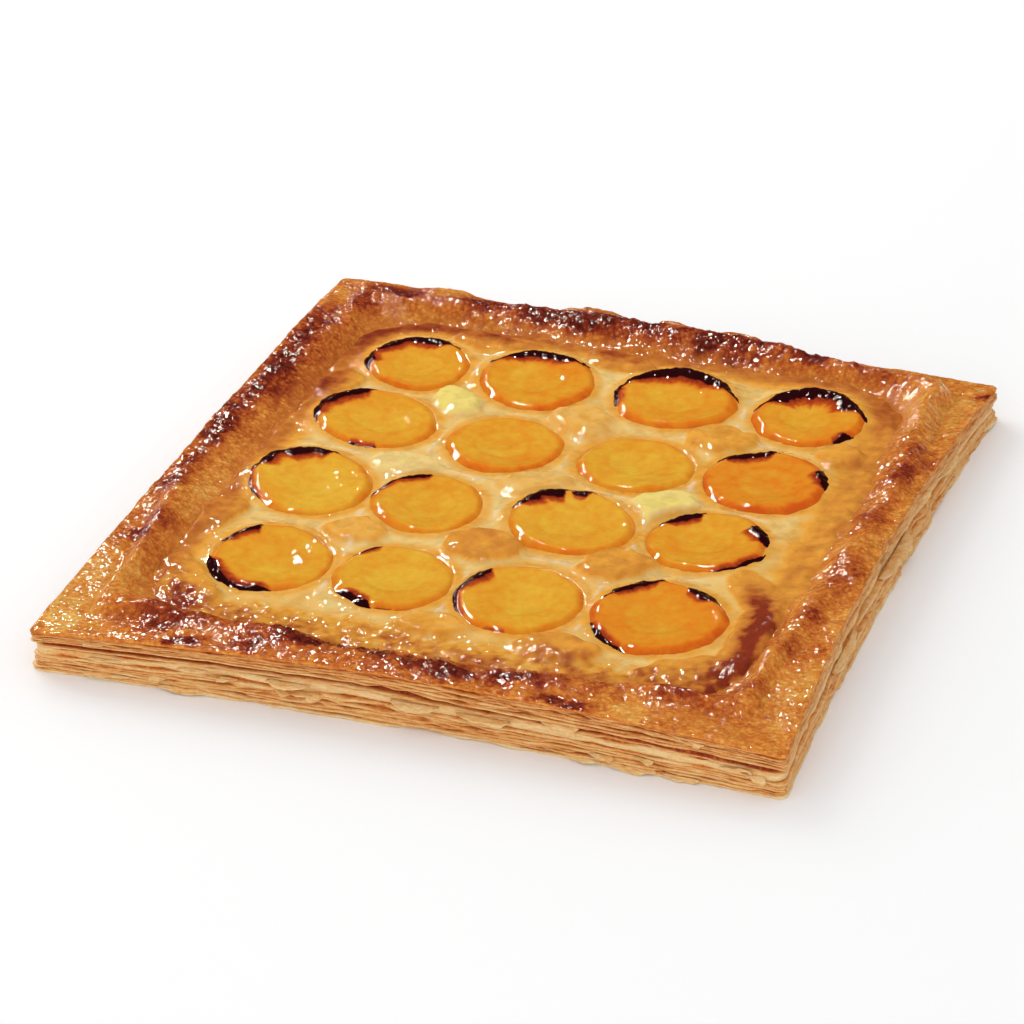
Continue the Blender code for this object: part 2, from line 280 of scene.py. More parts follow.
def addGrid(cellsX, cellsY):
    counts = {"x_subdivisions": cellsX, "y_subdivisions": cellsY}
    return startPiece(bpy.ops.mesh.primitive_grid_add, size=2, **counts)


def copyPiece(piece):
    made = piece.copy()
    made.data = piece.data.copy()
    bpy.context.collection.objects.link(made)
    return made


def joinPieces(pieces):
    bpy.ops.object.select_all(action="DESELECT")
    for piece in pieces:
        piece.select_set(True)
    bpy.context.view_layer.objects.active = pieces[0]
    bpy.ops.object.join()
    return pieces[0]


def pointsOf(piece):
    flat = np.empty(len(piece.data.vertices) * 3, dtype=np.float32)
    piece.data.vertices.foreach_get("co", flat)
    return flat.reshape(-1, 3).astype(float)


def setPoints(piece, places):
    piece.data.vertices.foreach_set("co", np.ascontiguousarray(places, dtype=np.float32).ravel())


def nearestStep(angle, steps):
    # which of the even steps round a circle an angle is at
    return np.round(angle / math.tau * steps).astype(int) % steps


def addDrum(rowCount):
    # a cylinder with one column for each outline point, its wall cut into rows; row 0 is the lowest
    piece = startPiece(bpy.ops.mesh.primitive_cylinder_add, vertices=columns, radius=1, depth=2)
    bpy.ops.object.mode_set(mode="EDIT")
    bpy.ops.mesh.select_mode(type="EDGE")
    bpy.ops.mesh.select_all(action="DESELECT")
    shape = bmesh.from_edit_mesh(piece.data)
    for edge in shape.edges:
        edge.select = abs(edge.verts[0].co.z - edge.verts[1].co.z) > 1  # the upright ones
    bmesh.update_edit_mesh(piece.data)
    bpy.ops.mesh.subdivide(number_cuts=rowCount - 2)
    bpy.ops.object.mode_set(mode="OBJECT")
    places = pointsOf(piece)
    column = nearestStep(np.arctan2(places[:, 1], places[:, 0]), columns)
    row = np.round((places[:, 2] + 1) * 0.5 * (rowCount - 1)).astype(int)
    return piece, row, column


def setInputs(node, values):
    # a value that is a socket is linked, any other one is set
    for key, value in values.items():
        if isinstance(value, bpy.types.NodeSocket):
            node.id_data.links.new(value, node.inputs[key])
        else:
            node.inputs[key].default_value = value


def addNode(tree, kind, values=None, **settings):
    made = tree.nodes.new(kind)
    for key, value in settings.items():
        setattr(made, key, value)
    setInputs(made, values or {})
    return made


def startMaterial(name, finish):
    made = bpy.data.materials.new(name)
    made.use_nodes = True
    shader = made.node_tree.nodes["Principled BSDF"]
    setInputs(shader, finish)
    return made, shader, addNode(made.node_tree, "ShaderNodeTexCoord").outputs["Object"]


def attribute(shader, name):
    return addNode(shader.id_data, "ShaderNodeAttribute", attribute_name=name).outputs["Fac"]


def noiseAt(here, size, detail=3, rough=0.55, stretch=None):
    # fine noise, 0 to 1, with grains of the given size in mm
    tree = here.id_data
    if stretch:
        here = addNode(tree, "ShaderNodeMapping", {"Vector": here, "Scale": stretch}).outputs["Vector"]
    values = {"Vector": here, "Scale": 1 / (size * mm), "Detail": detail, "Roughness": rough}
    return addNode(tree, "ShaderNodeTexNoise", values).outputs["Fac"]


def domesAt(here, size):
    # packed round grains of the given size in mm, 1 on their tops
    values = {"Vector": here, "Scale": 1 / (size * mm), "Smoothness": 0.35}
    cells = addNode(here.id_data, "ShaderNodeTexVoronoi", values, feature="SMOOTH_F1")
    return remap(cells.outputs["Distance"], 0, 0.75, 1, 0)


def calc(operation, first, second):
    values = {0: first, 1: second}
    return addNode(first.id_data, "ShaderNodeMath", values, operation=operation).outputs[0]


def plus(first, second):
    return calc("ADD", first, second)


def times(first, second):
    return calc("MULTIPLY", first, second)


def remap(value, low, high, newLow=0, newHigh=1):
    values = {"Value": value, "From Min": low, "From Max": high, "To Min": newLow, "To Max": newHigh}
    return addNode(value.id_data, "ShaderNodeMapRange", values).outputs["Result"]


def spread(value, low, high):
    # fine noise keeps mostly within 0.3 to 0.7, which becomes low to high
    return remap(value, 0.3, 0.7, low, high)


def colourRamp(factor, stops):
    made = addNode(factor.id_data, "ShaderNodeValToRGB", {"Fac": factor})
    elements = made.color_ramp.elements
    for element, (place, colour) in zip(elements, (stops[0], stops[-1])):
        element.position = place
        element.color = (*colour, 1)
    for place, colour in stops[1:-1]:
        elements.new(place).color = (*colour, 1)
    return made.outputs["Color"]


def mixColour(factor, first, second):
    made = addNode(factor.id_data, "ShaderNodeMix", {"Factor": factor}, data_type="RGBA")
    second = (*second, 1) if isinstance(second, tuple) else second
    setInputs(made, {6: first, 7: second})  # its two colour inputs
    return made.outputs[2]


def bumpOver(height, distance, normal=None):
    values = {"Height": height, "Distance": distance * mm}
    if normal:
        values["Normal"] = normal
    return addNode(height.id_data, "ShaderNodeBump", values).outputs["Normal"]


glaze = {"Specular IOR Level": 0, "Coat Roughness": 0.03}
crustLook = {
    "granule": 1.7,
    "soaked": (0.6, 0.2, 0.038),  # where the cream has run up the pastry
    "stops": (
        (0, (0.82, 0.56, 0.19)), (0.18, (0.76, 0.38, 0.08)),
        (0.36, (0.66, 0.22, 0.036)), (0.54, (0.47, 0.105, 0.022)),
        (0.72, (0.25, 0.032, 0.014)), (1, (0.04, 0.005, 0.005)),
    ),
    "speckle": 0.17,  # how far the fine noise moves the browning
}


def crustMaterial():
    made, shader, here = startMaterial("glazedCrust", glaze | {"Coat IOR": 1.6})
    brown = attribute(shader, "brown")
    grain = noiseAt(here, 1.3, 4, 0.62)
    fine = noiseAt(here, 0.45, 2, 0.5)
    speckle = plus(times(grain, 0.65), times(fine, 0.35))
    moved = spread(speckle, -crustLook["speckle"], crustLook["speckle"])
    # sugary grains: higher in their middles and painted paler there, a painted highlight where light falls on
    # their tops; strongest where the crust is browned
    domes = domesAt(here, crustLook["granule"])
    paintedGrainHighlight = remap(domes, 0.25, 0.95, 0.07, -0.12)
    shade = plus(plus(brown, moved), paintedGrainHighlight)
    colour = colourRamp(shade, crustLook["stops"])
    soaked = plus(attribute(shader, "soaked"), spread(grain, -0.2, 0.2))
    colour = mixColour(remap(soaked, 0.1, 0.9, 0, 0.85), colour, crustLook["soaked"])
    patches = remap(noiseAt(here, 3.6), 0.42, 0.5, 0.04, 1)
    rough = remap(brown, 0.15, 0.45, 0.45, 1)  # the browned parts are grainy, the pale ones smooth
    grains = times(domes, rough)
    knobs = times(noiseAt(here, 1.2, 0), rough)
    glazed = bumpOver(noiseAt(here, 2.8, 1), 0.9)
    glazed = bumpOver(knobs, 0.3, bumpOver(grains, 0.2, glazed))
    looks = {
        "Base Color": colour,
        "Roughness": spread(grain, 0.34, 0.52),
        "Coat Weight": times(attribute(shader, "glaze"), patches),
        "Normal": bumpOver(noiseAt(here, 0.8, 2), 0.06, bumpOver(grains, 0.18)),
        "Coat Normal": glazed,
    }
    setInputs(shader, looks)
    return made


leafLook = {
    "streaked": (0.3, 0.3, 3.6),  # fine streaks that run along the leaves
    "stops": (
        (0, (0.9, 0.66, 0.34)), (0.28, (0.86, 0.52, 0.19)),
        (0.52, (0.8, 0.36, 0.095)), (0.76, (0.58, 0.19, 0.04)),
        (1, (0.28, 0.065, 0.018)),
    ),
}


def leafMaterial():
    made, shader, here = startMaterial("pastryLeaves", {"Roughness": 0.55})
    streaks = noiseAt(here, 1, 3, 0.6, leafLook["streaked"])
    grain = noiseAt(here, 0.9, 3, 0.6)
    moved = plus(spread(streaks, -0.24, 0.24), spread(grain, -0.08, 0.08))
    shade = plus(attribute(shader, "tone"), moved)
    normal = bumpOver(noiseAt(here, 0.6), 0.14, bumpOver(streaks, 0.4))
    setInputs(shader, {"Base Color": colourRamp(shade, leafLook["stops"]), "Normal": normal})
    return made


creamLook = {
    "soft": {"Subsurface Weight": 0.15, "Subsurface Radius": (1, 0.5, 0.2), "Subsurface Scale": 0.002},
    "stops": (
        (0, (0.84, 0.66, 0.17)), (0.18, (0.82, 0.58, 0.22)),
        (0.34, (0.8, 0.48, 0.14)), (0.55, (0.8, 0.36, 0.05)),
        (0.74, (0.6, 0.21, 0.036)), (0.88, (0.43, 0.105, 0.022)),
        (1, (0.25, 0.036, 0.015)),
    ),
    "seam": (0.85, 0.62, 0.42),
    "granule": 1.7,
}


def creamMaterial():
    made, shader, here = startMaterial("cream", glaze | creamLook["soft"])
    clouds = spread(noiseAt(here, 5), -0.09, 0.09)
    colour = colourRamp(plus(attribute(shader, "tint"), clouds), creamLook["stops"])
    streak = remap(attribute(shader, "streak"), 0.2, 0.8, 0, 0.7)
    grainy = attribute(shader, "grainy")
    grains = times(domesAt(here, creamLook["granule"]), grainy)
    glazed = bumpOver(noiseAt(here, 2.4, 1), 0.42)
    glazed = bumpOver(noiseAt(here, 0.9, 0), 0.07, glazed)
    patches = remap(noiseAt(here, 6, 2), 0.46, 0.56, 0.04, 1)
    looks = {
        "Base Color": mixColour(streak, colour, creamLook["seam"]),
        "Roughness": spread(noiseAt(here, 2), 0.28, 0.45),
        "Coat Weight": calc("MAXIMUM", patches, times(grainy, 0.8)),
        "Normal": bumpOver(noiseAt(here, 2.4, 2), 0.1),
        "Coat Normal": bumpOver(grains, 0.25, glazed),
    }
    setInputs(shader, looks)
    return made


apricotLook = {
    "soft": {"Subsurface Weight": 0.35, "Subsurface Radius": (1, 0.35, 0.1), "Subsurface Scale": 0.003},
    "flesh": (
        (0, (0.82, 0.46, 0.044)), (0.35, (0.79, 0.33, 0.026)),
        (0.65, (0.79, 0.225, 0.016)), (1, (0.68, 0.11, 0.012)),
    ),
    "burnt": (
        (0.15, (0.76, 0.2, 0.016)), (0.38, (0.5, 0.07, 0.012)),
        (0.55, (0.2, 0.016, 0.01)), (0.72, (0.022, 0.003, 0.004)),
    ),
}


def apricotMaterial():
    made, shader, here = startMaterial("bakedApricot", glaze | apricotLook["soft"] | {"Coat IOR": 1.5})
    fibre = noiseAt(here, 3, 4, 0.6)
    shade = plus(attribute(shader, "ripe"), spread(fibre, -0.14, 0.14))
    char = attribute(shader, "char")
    edgeNoise = spread(noiseAt(here, 1.4, 2, 0.5), -0.06, 0.06)
    char = plus(char, times(edgeNoise, remap(char, 0.02, 0.3)))
    flesh = colourRamp(shade, apricotLook["flesh"])
    burnt = colourRamp(char, apricotLook["burnt"])
    glazed = bumpOver(noiseAt(here, 3.4, 1), 0.2)
    looks = {
        "Base Color": mixColour(remap(char, 0.06, 0.32), flesh, burnt),
        "Roughness": spread(fibre, 0.22, 0.36),
        "Coat Weight": remap(char, 0.5, 0.8, 1, 0.4),  # the black places are drier
        "Normal": bumpOver(noiseAt(here, 2.5, 1), 0.1),
        "Coat Normal": bumpOver(noiseAt(here, 1.2, 0), 0.07, glazed),
    }
    setInputs(shader, looks)
    return made


crust = {
    "outerRows": 20,
    "innerRows": 36,
    "lipInset": 0.3,
    "onWall": 60,  # stands for the outer wall among the places across the rim
    "topEnd": 59.5,
    "brown": 0.39,
    "wallBrown": 0.34,
    # the crust's rows in the slit are painted dark: painted shade in the slit
    "slitShade": 0.64,
    "curlBrown": 0.3,
    "darkest": 0.82,
    "tallest": 19.7,  # what rises higher is pressed together, below the solid's highest point
    "ragged": 0.45,
    # from the board up: distance inwards, share of the edge's height, what is added to that
    "wall": (
        (6, 0, 0.15), (3.6, 0, 0.35), (3.3, 0.3, 0), (3.6, 0.58, 0), (4.6, 0.62, 0),
        (3.2, 0.68, 0), (3, 1, -2), (0.9, 1, -1.45), (0.15, 1, -1), (0, 1, -0.5),
    ),
    # where the back edge curls up: x, half width, rise
    "curls": ((-80, 8, 1.4), (-25, 13, 3.2), (5, 7, 3.6), (29, 10, 4)),
    # browned and pale places: x, y, half length, half width, turn, strength
    "spots": (
        (-117, 84, 20, 4.5, 90, 0.3), (-117, 55, 12, 5, 90, 0.34), (-112, 44, 12, 4, 90, 0.16),
        (-118, 30, 12, 4, 90, 0.2), (-117, 8, 13, 4.5, 90, 0.28), (-117, -24, 16, 4, 90, 0.26),
        (-106, 60, 55, 8, 90, 0.04), (-106, -30, 40, 8, 90, -0.12), (-110, -58, 5, 4, 0, 0.26),
        (-114, -68, 5, 3, 0, 0.26), (0, 108, 100, 6, 0, -0.03), (-92, 122, 20, 4, 0, 0.34),
        (-50, 121, 22, 5, 0, 0.32), (-18, 119, 16, 5, 0, 0.36), (12, 117, 14, 5, 0, 0.36),
        (40, 116, 16, 5, 0, 0.32), (68, 116, 20, 5, -6, 0.18), (-108, 112, 5, 6, 0, 0.2),
        (112, 61, 9, 6, 90, 0.24), (110, 44, 8, 5, 90, 0.26), (99, 42, 22, 8, 90, 0.1),
        (108, 12, 10, 5, 90, 0.22), (110, -26, 14, 7, 90, 0.24), (107, -54, 6, 5, 0, 0.2),
        (111, -70, 10, 5, 90, 0.26), (97, -68, 16, 4, 90, 0.22), (110, 0, 120, 16, 90, -0.14),
        (92, -101, 16, 4.5, 28, 0.14), (-84, -116, 9, 5, 0, 0.22), (-70, -124, 7, 3, 0, 0.46),
        (-52, -120, 6, 4, 0, 0.34), (-38, -114, 9, 4, 0, 0.26), (-16, -111, 9, 4, 0, 0.2),
        (0, -115, 7, 5, 0, 0.26), (15, -117, 8, 4, 0, 0.36), (37, -114, 9, 4, 0, 0.24),
        (51, -123, 8, 3.5, 0, 0.44), (-20, -108, 70, 8, 0, 0.2), (72, -119, 9, 12, 0, -0.18),
        (112, -118, 9, 9, 0, 0.05), (122, 115, 4, 3, 0, 0.5), (-112, -112, 18, 16, 0, -0.21),
        (-114, -86, 10, 10, 0, -0.1), (103, 98, 9, 18, 0, -0.1), (-116, 119, 9, 9, 0, -0.06),
    ),
}


def crustRows():
    # points up the outer wall, across the top to the crest and down into the recess
    grid = []
    place = []
    edge = edgeHeight(around)
    for inset, share, drop in crust["wall"]:
        grid.append(np.column_stack((outerLine + inwards * inset, edge * share + drop)))
        place.append(np.full(columns, crust["onWall"]))
    lip = rimWidth - crust["lipInset"]
    crestStart = (tart["crestFoot"] + 2) * rimScale
    outerShares = np.linspace(0, 1, crust["outerRows"], endpoint=False)[:, None]
    innerShares = np.linspace(1, 0, crust["innerRows"])[:, None]
    for distance in np.vstack((lip + (crestStart - lip) * outerShares, crestStart * innerShares)):
        x, y = (innerLine - inwards * distance[:, None]).T
        height, across = rimHeight(x, y, distance)
        grid.append(np.column_stack((x, y, height)))
        place.append(across)
    return np.array(grid), np.array(place)


def crustRelief(flat, place, top, spots, grains, knobs):
    # soft swelling everywhere, blisters where it is browned
    x, y = flat[..., 0], flat[..., 1]
    full = tart["fullWidth"]
    onTop = between(2.5, 7, place) * (1 - 0.6 * between(full - 1, full + 3, place)) * top
    inCorner = between(full, full + 8, place) * top
    browned = np.clip(1.9 * (spots + 0.22), 0.25, 1)
    relief = 0.5 * lumps(flat, 8, 3, 2) + 0.2 * lumps(flat, 2.6, 4, 2) + 0.5 * lumps(flat, 19, 7)
    relief += browned * (0.7 * blisters(x, y, 5.2, 5) + 0.6 * knobs + 0.45 * grains) - 0.3
    return relief * np.maximum(onTop, 0.5 * inCorner)


def makeCrust(material):
    wallRows = len(crust["wall"])
    piece, row, column = addDrum(wallRows + crust["outerRows"] + crust["innerRows"])
    grid, place = crustRows()
    x, y, height = grid[..., 0], grid[..., 1], grid[..., 2]
    flat = flatPoints(x, y)
    top = place < crust["topEnd"]
    full = tart["fullWidth"]
    mottle = lumps(flat, 3.2, 2, 3)
    spots = spotField(flat, crust["spots"], 2.2, 6)
    # browned most on the crest
    brown = crust["brown"] + 0.07 * np.exp(-(((place - 22.5) / 6.5) ** 2))
    brown += 0.08 * lumps(flat, 14, 1, 3)
    brown += 0.1 * mottle
    patchy = 1 + 0.35 * mottle + 0.5 * lumps(flat, 8, 14, 2)
    brown += spots * np.where(spots > 0, patchy, 1) - 0.03 * between(full - 1.5, full + 4, place) * top
    brown = np.minimum(brown, crust["darkest"])
    # soaked at the foot of the inner slope, less at the left and the back
    dry = np.maximum(between(70, 90, -x), between(75, 95, y))
    soaked = between(14, 6, place + 2.5 * lumps(flat, 7, 12, 2)) * (1 - 0.5 * dry)
    grains = blisters(x + 1, y + 2, 2.1, 25)
    knobs = blisters(x + 3, y, 3.1, 15)
    # the tops of the grains and knobs are painted paler: a painted highlight where light falls on them
    brown -= (0.1 * (grains - 0.35) + 0.07 * (knobs - 0.35)) * top
    height += crustRelief(flat, place, top, spots, grains, knobs)
    for curlX, curlWidth, rise in crust["curls"]:
        curl = np.exp(-(((x - curlX) / curlWidth) ** 4)) * (y > 100)
        curl *= between(full - 5, full, place) * top
        height += rise * curl
        brown += (crust["curlBrown"] - brown) * curl
    over = np.clip(height - crust["tallest"], 0, None)
    height -= over - np.tanh(over)
    # the top's edge is a little ragged
    ragged = crust["ragged"] * lumps(flatPoints(*outerLine.T), 4, 8, 3) - 0.35
    grid[wallRows - 3 : wallRows + 2, :, :2] -= inwards * ragged[:, None]
    brown[:wallRows] = crust["wallBrown"] + 0.1 * mottle[:wallRows]
    # painted shade: the rows in the slit between the upper and lower leaves are painted dark
    brown[3:6] = crust["slitShade"]
    values = {"brown": brown, "glaze": np.where(top, 1, 0.15), "soaked": soaked}
    values = {name: value[row, column] for name, value in values.items()}
    finishPiece(piece, "crust", grid[row, column], "pastry", material, values)
    print("crust", len(piece.data.polygons))


# the leaves of the pastry, seen in its outer wall
leaves = {
    "section": 6,  # points round a leaf's section
    "depth": 5.2,  # how far in a leaf starts
    "slit": 0.6,  # share of the height at which the border strip lies on the bottom sheet
    "slitHalf": 0.05,
    "thinnest": 0.22,
    "belowLip": 1.3,
    "firstLower": 20,  # number of the first of the lower leaves; the upper ones start at 1
    # upper leaves from the slit to the lip, lower leaves from the board to the slit:
    # place in its zone, thickness as a share of the zone, distance inwards, tone; those marked slit
    # run straighter
    "upperLeaves": (
        (0.05, 0.12, 0.1, 0.34, "slit"), (0.18, 0.09, 1, 0.44), (0.3, 0.11, 0.4, 0.4), (0.43, 0.09, 1, 0.48),
        (0.55, 0.11, 0.5, 0.42), (0.68, 0.09, 0.9, 0.5), (0.81, 0.11, 0.4, 0.46), (0.94, 0.1, 0.7, 0.52),
    ),
    "lowerLeaves": (
        (0.045, 0.07, 0.2, 0.14), (0.11, 0.055, 1, 0.42), (0.17, 0.06, 0.4, 0.3), (0.235, 0.05, 1.1, 0.46),
        (0.295, 0.06, 0.5, 0.36), (0.355, 0.05, 1.2, 0.48), (0.415, 0.06, 0.6, 0.34),
        (0.48, 0.055, 1.2, 0.42), (0.56, 0.08, 1.2, 0.26), (0.74, 0.3, 2.1, 0.16),
        (0.93, 0.07, 1.7, 0.3, "slit"),
    ),
}


def slitShare():
    # the joint lies higher in the left part of the front side, and lowest in its right part
    front = np.where(around < 2, around, around - 4)
    return leaves["slit"] + 0.09 * between(0.62, 0.4, front) * between(-0.5, 0, front)


def leafRing(low, high, spec, number):
    # one wavy thin sheet round the tart; low and high bound its zone
    share, thickness, inset, tone = spec[:4]
    lower = number >= leaves["firstLower"]
    zone = high - low
    line = np.column_stack((outerLine, np.full(columns, 13 * number)))
    calm = 0.45 if "slit" in spec else 1
    middle = low + zone * share + calm * (0.42 * lumps(line, 15, 1, 2) + 0.24 * lumps(line, 3.6, 2, 2))
    half = 0.5 * np.clip(zone * thickness * (1 + 0.35 * lumps(line, 9, 3)), leaves["thinnest"], None)
    worn = between(0.35, 0.6, lumps(line, 11, 4, 2))  # stretches where the leaf has flaked off
    tip = inset + 0.5 * lumps(line, 8, 5, 2) + 0.4 * lumps(line, 2.2, 6, 2) + 1.5 * worn
    tip -= bySide(tart["baseProud"], around) * lower * between(0.75, 0.45, share)
    tip = np.clip(tip, -1.9 if lower else 0.05, None)
    droop = -0.25 * np.clip(lumps(line, 6, 7, 2), 0, None)
    depth = np.full(columns, leaves["depth"])
    section = ((depth, -0.8), (tip + 0.8, -1), (tip, -0.45), (tip, 0.45), (tip + 0.8, 1), (depth, 0.8))
    points = np.zeros((columns, len(section), 3))
    tones = np.zeros((columns, len(section)))
    for index, (distance, level) in enumerate(section):
        nearTip = between(tip + 1.6, tip, distance)
        points[:, index, :2] = outerLine + inwards * distance[:, None]
        points[:, index, 2] = np.maximum(middle + half * level + droop * nearTip, 0.02)
        # a leaf darkens away from its tip, deeper in the wall: painted shade in the gaps between the leaves
        tones[:, index] = tone + 0.13 * lumps(line, 10, 9, 2) + 0.22 * (1 - nearTip) + 0.18 * worn
    return points, tones


def makeLeaves(name, low, high, first, material):
    # each leaf starts as its own ring; they are joined into one piece
    specs = leaves[name]
    section = leaves["section"]
    sizes = {"major_radius": 1, "minor_radius": 0.25, "major_segments": columns, "minor_segments": section}
    ring = startPiece(bpy.ops.mesh.primitive_torus_add, **sizes)
    x, y, z = pointsOf(ring).T
    column = nearestStep(np.arctan2(y, x), columns)
    turn = nearestStep(np.arctan2(z, np.hypot(x, y) - 1), section)
    rings = [ring] + [copyPiece(ring) for _ in specs[1:]]
    shapes = [leafRing(low, high, spec, first + number) for number, spec in enumerate(specs)]
    points, tones = (np.concatenate([part[column, turn] for part in parts]) for parts in zip(*shapes))
    joined = joinPieces(rings)
    finishPiece(joined, name, points, "pastry", material, {"tone": tones})
    print(name, len(joined.data.polygons))


# loose flakes on the wall
flakes = {
    "alongCells": 16,
    "outCells": 5,
    "thickness": 0.28,
    "start": 1.6,  # how far in a flake begins
    "margin": 0.2,  # how far it keeps within the solid's box
    "tone": 0.26,
    "seed": 5,
    "count": 64,
    # the listed ones: place round the tart, share of the height, half length, reach, curl up or down
    "chosen": (
        (0.935, 0.44, 4.5, 3.4, 2.2), (0.958, 0.4, 3.5, 2.6, -1.8), (0.8, 0.07, 9, 2.4, -0.8),
        (0.86, 0.06, 7, 2.2, -0.6), (0.74, 0.08, 6, 2, -0.6), (0.52, 0.5, 8, 2, -1),
        (0.61, 0.47, 9, 2.2, -1), (0.71, 0.62, 6, 1.8, -0.8), (0.1, 0.14, 8, 1.6, -0.6),
        (0.21, 0.08, 9, 2, -0.6), (0.35, 0.52, 7, 1.6, -0.8), (1.3, 0.36, 14, 2.6, -0.8),
        (1.55, 0.38, 16, 2.8, -0.8), (1.78, 0.6, 10, 2, -0.8),
    ),
}


def flakePlaces(plan, number, spec):
    # a ragged tongue that starts inside the wall and curls outwards
    place, share, length, reach, curl = spec
    along = plan[:, 0]
    out = 0.5 * (plan[:, 1] + 1)
    middle = int(np.argmin(np.abs(around - place)))
    column = middle + along * length / (tart["sideLength"] / tart["straightSteps"])
    line = [np.interp(column % columns, np.arange(columns), part) for part in outerLine.T]
    seed = np.full_like(along, 3 * number)
    ragged = lumps(np.stack((1.7 * along, seed, seed), -1), 0.6, 2, 2)
    outline = (1 - np.abs(along) ** 3) * (1 + 0.45 * ragged)
    far = flakes["start"] - (flakes["start"] + reach * outline) * out
    wavy = 0.35 * lumps(np.stack((2 * along, out, seed), -1), 0.9, 3, 2)
    height = edgeHeight(around)[middle] * share + curl * out**2 * (1 - along**2) + wavy * (0.3 + out)
    points = np.column_stack((np.stack(line, -1) + inwards[middle] * far[:, None], height))
    return np.clip(points, boxLow + flakes["margin"], boxHigh - flakes["margin"])


def makeFlakes(material):
    rng = np.random.default_rng(flakes["seed"])
    specs = list(flakes["chosen"])
    while len(specs) < flakes["count"]:
        place = rng.uniform(0.02, 3.98)
        reach = rng.uniform(0.9, 2)
        specs.append((place, rng.uniform(0.05, 0.92), rng.uniform(2, 7), reach, rng.uniform(-1.1, 0.4)))
    first = addGrid(flakes["alongCells"], flakes["outCells"])
    plan = pointsOf(first)
    sheets = [first] + [copyPiece(first) for _ in specs[1:]]
    for number, (sheet, spec) in enumerate(zip(sheets, specs)):
        setPoints(sheet, flakePlaces(plan, number, spec) * mm)
    joined = joinPieces(sheets)
    solid = joined.modifiers.new("thickness", "SOLIDIFY")
    solid.thickness = flakes["thickness"] * mm
    solid.offset = 0
    bpy.ops.object.modifier_apply(modifier=solid.name)
    places = pointsOf(joined) / mm
    tone = flakes["tone"] + 0.16 * lumps(places, 4, 1, 2)
    finishPiece(joined, "looseFlakes", places, "pastry", material, {"tone": tone})
    print("flakes", len(joined.data.polygons))


# Each half: middle x, y, half width, half length, turn, face height, lean about X and Y, how far its
# tip stands out, how ripe it looks (0 yellow, 1 red), then its burnt arcs: from, to, width, darkness.
# Angles are in degrees, and the arcs' are seen from above, from +X round towards +Y
fruit = (
    (-67.8, -63.6, 21, 21.2, 10, 14.6, 2, 3, 0.02, 0.3, ((128, 165, 2.6, 1), (200, 292, 3, 1))),
    (-26.2, -62.3, 20.2, 21.2, 205, 14.2, -1, 2, 0.04, 0.22, ((128, 150, 1.2, 0.8), (232, 262, 3, 1),
      (278, 284, 1, 0.5), (296, 302, 0.9, 0.5))),
    (16.3, -63.3, 21.6, 21.8, 0, 14.4, 1, 1, 0, 0.26, ((140, 184, 3.4, 1), (186, 225, 1.4, 0.9),
      (258, 272, 1.8, 0.8))),
    (61.2, -61.2, 22.6, 21.6, 5, 15, 2, 1, 0.01, 0.5, ((108, 158, 2.4, 1), (45, 72, 2.6, 0.9),
      (206, 252, 2, 0.9))),
    (-75.6, -13.4, 22.9, 20.6, -35, 15, 3, 3, 0.02, 0.2, ((88, 172, 3.4, 1), (172, 232, 1.2, 0.8))),
    (-33.4, -14.8, 19.4, 20, 20, 14.3, 1, 3, 0.02, 0.28, ((105, 175, 1.6, 0.9),)),
    (15.5, -12.4, 22.6, 20.2, -15, 14.8, 2, 2, 0, 0.24, ((118, 168, 4, 1), (94, 104, 2, 0.9))),
    (60.2, -11, 21.4, 19.8, -15, 14.6, 1, -4, 0.03, 0.36, ((112, 152, 3.2, 1), (8, 36, 3.6, 1),
      (292, 345, 1.6, 0.9))),
    (-71.4, 34, 23, 19, -10, 15.2, 3, 3, 0.02, 0.28, ((115, 200, 3.6, 1), (262, 288, 2.4, 0.9))),
    (-23.8, 31.5, 21, 19.8, 0, 14.4, 1, 1, 0.02, 0.34, ()),
    (22.3, 32, 21.6, 19, -5, 14, 0, 0, 0.01, 0.24, ()),
    (66.6, 32, 22.4, 20.4, -20, 15, 2, -2, 0.02, 0.55, ((96, 150, 3.2, 1), (2, 30, 3, 1))),
    (-72.3, 76.2, 19, 18, 0, 15.6, 4, 3, 0.03, 0.34, ((62, 212, 3.4, 1),)),
    (-29, 76.5, 21.6, 19.6, -10, 15.8, 5, 1, 0, 0.4, ((48, 160, 3.2, 1),)),
    (20.5, 78, 22.2, 19.6, -10, 15.8, 5, -1, 0.03, 0.34, ((18, 172, 4.4, 1), (178, 204, 2.4, 0.9))),
    (68.2, 77.8, 19.8, 18.4, -5, 16.2, 6, -1, 0.05, 0.42, ((12, 172, 5.2, 1), (318, 330, 2.2, 0.9))),
)
half = {
    "depth": 8.2,
    "wave": 0.035,
    "faceEnd": 3.9,  # place in the section, as the next ones
    "hollowEnd": 3.5,
    "lipEnd": 4.6,
    "rim": 4.5,
    # share of the radius and of the depth, from the middle of the face over the rim to the underside
    "section": (
        (0, 0.12), (0.24, 0.1), (0.5, 0.05), (0.76, 0), (0.9, 0.08), (1, 0.34),
        (0.84, 0.74), (0.52, 0.96), (0, 1),
    ),
    "rowPlaces": ((0, 0), (0.4, 2.9), (0.72, 5), (1, 8)),  # share of the rows, place in the section
    "segments": 144,
    "rings": 54,
}


def throughPoints(points, places):
    # a smooth curve through the points, read at places counted in points
    points = np.asarray(points, float)
    ends = np.vstack(([[-points[1][0], points[1][1]]], points, [[-points[-2][0], points[-2][1]]]))
    index = np.clip(np.floor(places).astype(int), 0, len(points) - 2)
    t = (places - index)[:, None]
    a, b, c, d = (ends[index + k] for k in range(4))
    return 0.5 * (2 * b + (c - a) * t + (2 * a - 5 * b + 4 * c - d) * t**2 + (3 * b - a - 3 * c + d) * t**3)


